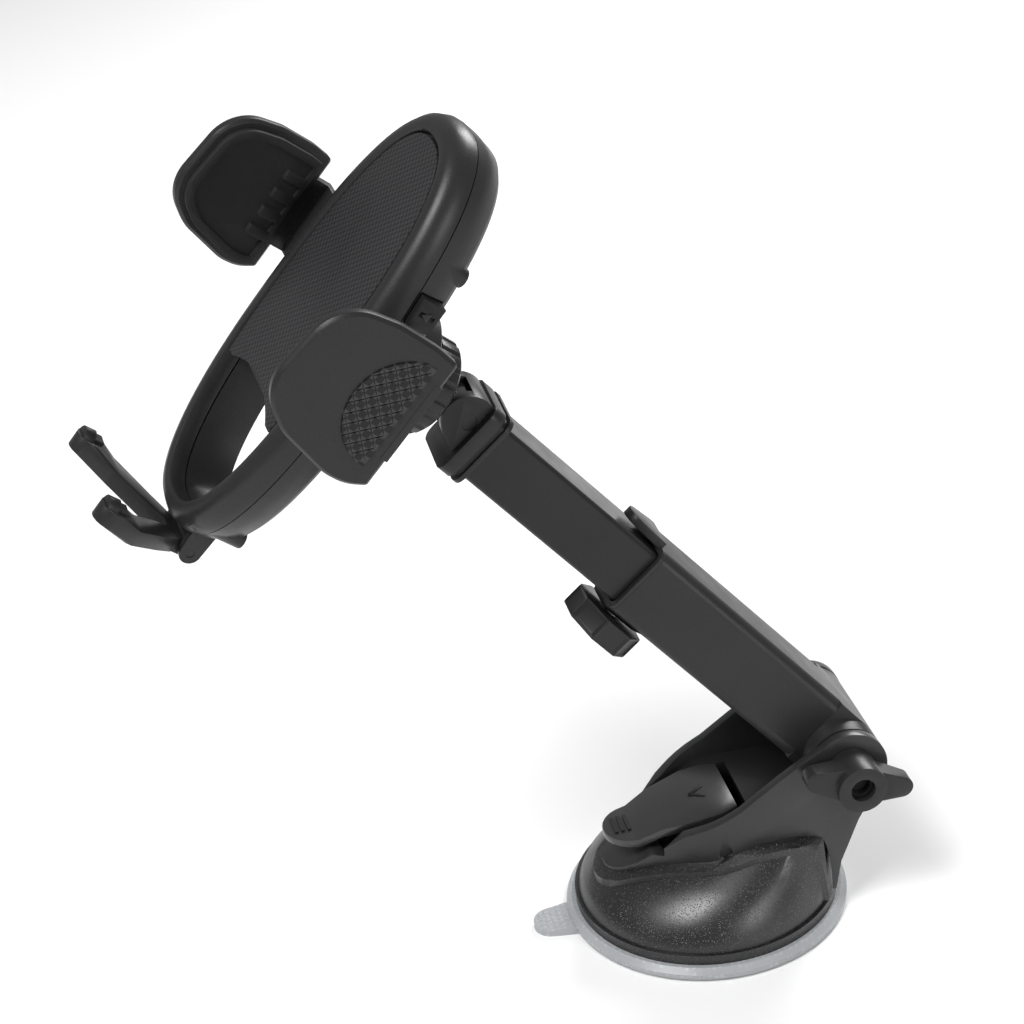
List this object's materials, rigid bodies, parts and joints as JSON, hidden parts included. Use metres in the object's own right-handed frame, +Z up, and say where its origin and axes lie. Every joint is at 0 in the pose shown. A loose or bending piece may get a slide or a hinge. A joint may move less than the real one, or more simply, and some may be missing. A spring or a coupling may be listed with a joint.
{
  "type": "phone mount",
  "caption": "Telescopic arm phone holder on a suction-cup base, with a lock lever, tilting arm, ball-jointed oval ring, side clamps and folding foot.",
  "frame": {"origin": "centre of the suction cup's underside", "axes": "+Z up from the mounting surface, -X towards the lock lever and the holder, Y along the arm's hinge"},
  "size_m": [0.1911, 0.1067, 0.2259],
  "materials": {
    "clear_cup": "translucent soft grey, dotted",
    "skirt_black": "fine speckled satin",
    "housing_black": "satin moulded",
    "inner_black": "plain moulded",
    "lever_black": "satin with a soft shine",
    "lever_mark": "dark grooves",
    "knob_black": "satin moulded",
    "arm_black": "satin moulded",
    "tube_grey": "smooth satin",
    "black_steel": "black oxide",
    "steel": "bright plated",
    "brass": "turned",
    "stud_black": "polished",
    "natural_nylon": "natural nylon",
    "holder_black": "satin moulded",
    "pad_rubber": "woven texture",
    "clamp_black": "satin moulded",
    "inlay_check": "diamond check",
    "grip_rubber": "matte rubber",
    "button_black": "matte"
  },
  "bodies": {
    "base": {"suction_cup": "clear_cup", "cup_stem": "inner_black", "cup_spring": "steel", "base_skirt": "skirt_black", "base_housing": "housing_black", "lever_pin": "black_steel", "housing_screws": "steel", "pivot_bolt": "black_steel", "bolt_cap": "housing_black", "pivot_washers": "steel"},
    "lever": {"lock_lever": "lever_black", "lever_inlay": "lever_mark"},
    "hinge_knob": {"wing_knob": "knob_black", "knob_insert": "black_steel"},
    "lower_arm": {"outer_tube": "arm_black", "mouth_collar": "arm_black", "brake_shoe": "inner_black", "threaded_insert": "brass"},
    "brake_knob": {"thumb_knob": "knob_black", "thumb_screw": "steel"},
    "upper_arm": {"inner_tube": "tube_grey", "end_slider": "inner_black", "end_socket": "arm_black", "eye_pin": "black_steel"},
    "stud": {"ball_stud": "stud_black"},
    "seat": {"ball_seat": "natural_nylon"},
    "holder": {"rear_shell": "holder_black", "front_bezel": "holder_black", "face_plate": "holder_black", "face_pad": "pad_rubber", "shell_screws": "steel", "gear_post": "steel", "button_springs": "steel", "foot_pin": "black_steel"},
    "nut": {"ring_nut": "holder_black"},
    "gear": {"pinion": "natural_nylon"},
    "clamp_near": {"clamp_arm_near": "clamp_black", "clamp_pad_near": "grip_rubber", "clamp_inlay_near": "inlay_check"},
    "clamp_far": {"clamp_arm_far": "clamp_black", "clamp_pad_far": "grip_rubber", "clamp_inlay_far": "inlay_check"},
    "button_near": {"release_button_near": "button_black"},
    "button_far": {"release_button_far": "button_black"},
    "foot": {"foot_fork": "clamp_black", "foot_pads": "grip_rubber"}
  },
  "joints": [
    {"name": "lever_lift", "type": "hinge", "parent": "base", "child": "lever", "pos_m": [0.0015, 0, 0.0258], "axis": [0, 1, 0], "range_deg": [0, 60]},
    {"name": "hinge_knob_turn", "type": "hinge", "parent": "base", "child": "hinge_knob", "pos_m": [0.0353, -0.025, 0.0443], "axis": [0, -1, 0], "range_deg": [-180, 180]},
    {"name": "arm_tilt", "type": "hinge", "parent": "base", "child": "lower_arm", "pos_m": [0.0353, 0, 0.0443], "axis": [0, 1, 0], "range_deg": [-28, 95]},
    {"name": "brake_knob_turn", "type": "hinge", "parent": "lower_arm", "child": "brake_knob", "pos_m": [-0.01896, 0, 0.09164], "axis": [-0.7738, 0, -0.6334], "range_deg": [-180, 180]},
    {"name": "arm_extend", "type": "slide", "parent": "lower_arm", "child": "upper_arm", "axis": [-0.6334, 0, 0.7738], "range_m": [-0.04, 0.004]},
    {"name": "head_tilt", "type": "hinge", "parent": "upper_arm", "child": "stud", "pos_m": [-0.0501, 0, 0.15338], "axis": [0, 1, 0], "range_deg": [-30, 28]},
    {"name": "head_pan", "type": "hinge", "parent": "stud", "child": "seat", "pos_m": [-0.0626, 0, 0.16475], "axis": [0.673, 0, 0.7396], "range_deg": [-25, 3]},
    {"name": "head_spin", "type": "hinge", "parent": "seat", "child": "holder", "pos_m": [-0.0626, 0, 0.16475], "axis": [-0.726, -0.1908, 0.6606], "range_deg": [-90, 90]},
    {"name": "nut_turn", "type": "hinge", "parent": "holder", "child": "nut", "pos_m": [-0.05933, 0.00086, 0.16178], "axis": [-0.726, -0.1908, 0.6606], "range_deg": [-180, 180]},
    {"name": "clamp_near_slide", "type": "slide", "parent": "holder", "child": "clamp_near", "axis": [-0.1128, 0.9808, 0.1593], "range_m": [0, 0.0195]},
    {"name": "clamp_far_slide", "type": "slide", "parent": "holder", "child": "clamp_far", "axis": [0.1128, -0.9808, -0.1593], "range_m": [0, 0.0195]},
    {"name": "pinion_turn", "type": "hinge", "parent": "holder", "child": "gear", "pos_m": [-0.07312, -0.00441, 0.18446], "axis": [-0.726, -0.1908, 0.6606], "range_deg": [-224, 1]},
    {"name": "button_near_press", "type": "slide", "parent": "holder", "child": "button_near", "axis": [-0.1128, 0.9808, 0.1593], "range_m": [0, 0.0012], "stiffness_N_per_m": 400, "springref_m": -0.001},
    {"name": "button_far_press", "type": "slide", "parent": "holder", "child": "button_far", "axis": [0.1128, -0.9808, -0.1593], "range_m": [0, 0.0012], "stiffness_N_per_m": 400, "springref_m": -0.001},
    {"name": "foot_fold", "type": "hinge", "parent": "holder", "child": "foot", "pos_m": [-0.11974, -0.00168, 0.13462], "axis": [0.1128, -0.9808, -0.1593], "range_deg": [0, 80]}
  ],
  "couplings": [
    {"joint": "clamp_far_slide", "follows": "clamp_near_slide", "ratio": 1},
    {"joint": "pinion_turn", "follows": "clamp_near_slide", "rad_per_m": -200}
  ]
}
